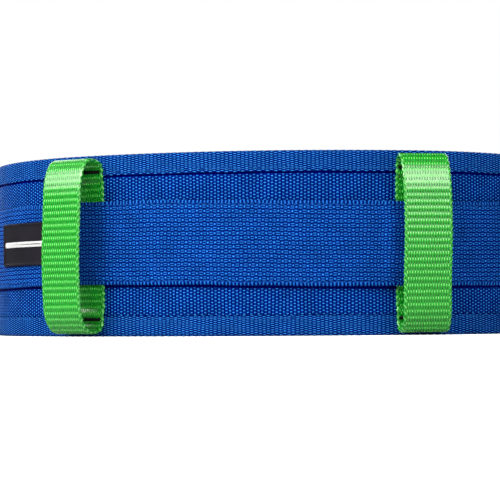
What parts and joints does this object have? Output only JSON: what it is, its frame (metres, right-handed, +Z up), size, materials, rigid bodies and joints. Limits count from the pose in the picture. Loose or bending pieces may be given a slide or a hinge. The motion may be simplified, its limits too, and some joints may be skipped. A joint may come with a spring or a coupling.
{
  "type": "gait belt",
  "caption": "Wide webbing waist belt with vertical webbing hand loops round it, a central load strap and a side-release buckle with a sliding strap adjuster.",
  "frame": {"origin": "middle of the footprint on the surface that the belt's lower edge stands on", "axes": "+Z up the belt's height, -Y out of the front of the wearer, +X to the right of someone looking at the front; the buckle is at +Y"},
  "size_m": [0.3653, 0.2467, 0.1016],
  "materials": {
    "blue_webbing": "royal-blue coarse plain-woven webbing",
    "blue_tape": "slightly lighter blue fine-woven binding tape",
    "green_webbing": "bright green ribbed webbing with a pale sheen",
    "black_thread": "dense black zigzag thread",
    "blue_thread": "blue sewing thread",
    "label_rubber": "dark soft patch with a raised rim",
    "black_plastic": "moulded black plastic with a light grain"
  },
  "bodies": {
    "left_half": {"base_panel_left": "blue_webbing", "top_binding_left": "blue_tape", "bottom_binding_left": "blue_tape", "end_binding_left": "blue_tape", "center_strap_left": "blue_webbing", "handle_1_base": "green_webbing", "handle_2_base": "green_webbing", "bartack_1_top": "black_thread", "bartack_1_bottom": "black_thread", "bartack_2_top": "black_thread", "bartack_2_bottom": "black_thread", "label_patch": "label_rubber", "socket_strap": "blue_webbing", "socket_box_stitch": "blue_thread", "buckle_socket": "black_plastic"},
    "right_half": {"base_panel_right": "blue_webbing", "top_binding_right": "blue_tape", "bottom_binding_right": "blue_tape", "end_binding_right": "blue_tape", "center_strap_right": "blue_webbing", "handle_3_base": "green_webbing", "handle_4_base": "green_webbing", "bartack_3_top": "black_thread", "bartack_3_bottom": "black_thread", "bartack_4_top": "black_thread", "bartack_4_bottom": "black_thread", "adjuster_strap": "blue_webbing", "adjuster_box_stitch": "blue_thread", "buckle_plug": "black_plastic"},
    "handle_1": {"handle_1_grip": "green_webbing"},
    "handle_2": {"handle_2_grip": "green_webbing"},
    "handle_3": {"handle_3_grip": "green_webbing"},
    "handle_4": {"handle_4_grip": "green_webbing"},
    "upper_arm": {"latch_arm_upper": "black_plastic"},
    "lower_arm": {"latch_arm_lower": "black_plastic"},
    "keeper": {"strap_keeper": "black_plastic"}
  },
  "joints": [
    {"name": "belt_open", "type": "hinge", "parent": "left_half", "child": "right_half", "pos_m": [0, -0.11665, 0.0508], "axis": [0, 0, -1], "range_deg": [0, 45]},
    {"name": "handle_1_sway", "type": "hinge", "parent": "left_half", "child": "handle_1", "pos_m": [-0.15924, 0.06075, 0.0508], "axis": [0, 0, 1], "range_deg": [-18, 18], "stiffness_Nm_per_rad": 0.02},
    {"name": "handle_2_sway", "type": "hinge", "parent": "left_half", "child": "handle_2", "pos_m": [-0.09306, -0.0993, 0.0508], "axis": [0, 0, 1], "range_deg": [-18, 18], "stiffness_Nm_per_rad": 0.02},
    {"name": "handle_3_sway", "type": "hinge", "parent": "right_half", "child": "handle_3", "pos_m": [0.09542, -0.0984, 0.0508], "axis": [0, 0, 1], "range_deg": [-18, 18], "stiffness_Nm_per_rad": 0.02},
    {"name": "handle_4_sway", "type": "hinge", "parent": "right_half", "child": "handle_4", "pos_m": [0.15806, 0.06303, 0.0508], "axis": [0, 0, 1], "range_deg": [-18, 18], "stiffness_Nm_per_rad": 0.02},
    {"name": "upper_arm_squeeze", "type": "hinge", "parent": "right_half", "child": "upper_arm", "pos_m": [0.004, 0.11687, 0.0724], "axis": [0, -1, 0], "range_deg": [0, 12], "stiffness_Nm_per_rad": 0.8},
    {"name": "lower_arm_squeeze", "type": "hinge", "parent": "right_half", "child": "lower_arm", "pos_m": [0.004, 0.11687, 0.03], "axis": [0, 1, 0], "range_deg": [0, 12], "stiffness_Nm_per_rad": 0.8},
    {"name": "keeper_slide", "type": "slide", "parent": "right_half", "child": "keeper", "axis": [1, 0, 0], "range_m": [-0.01, 0.01]}
  ],
  "couplings": [
    {"joint": "lower_arm_squeeze", "follows": "upper_arm_squeeze", "ratio": 1}
  ]
}
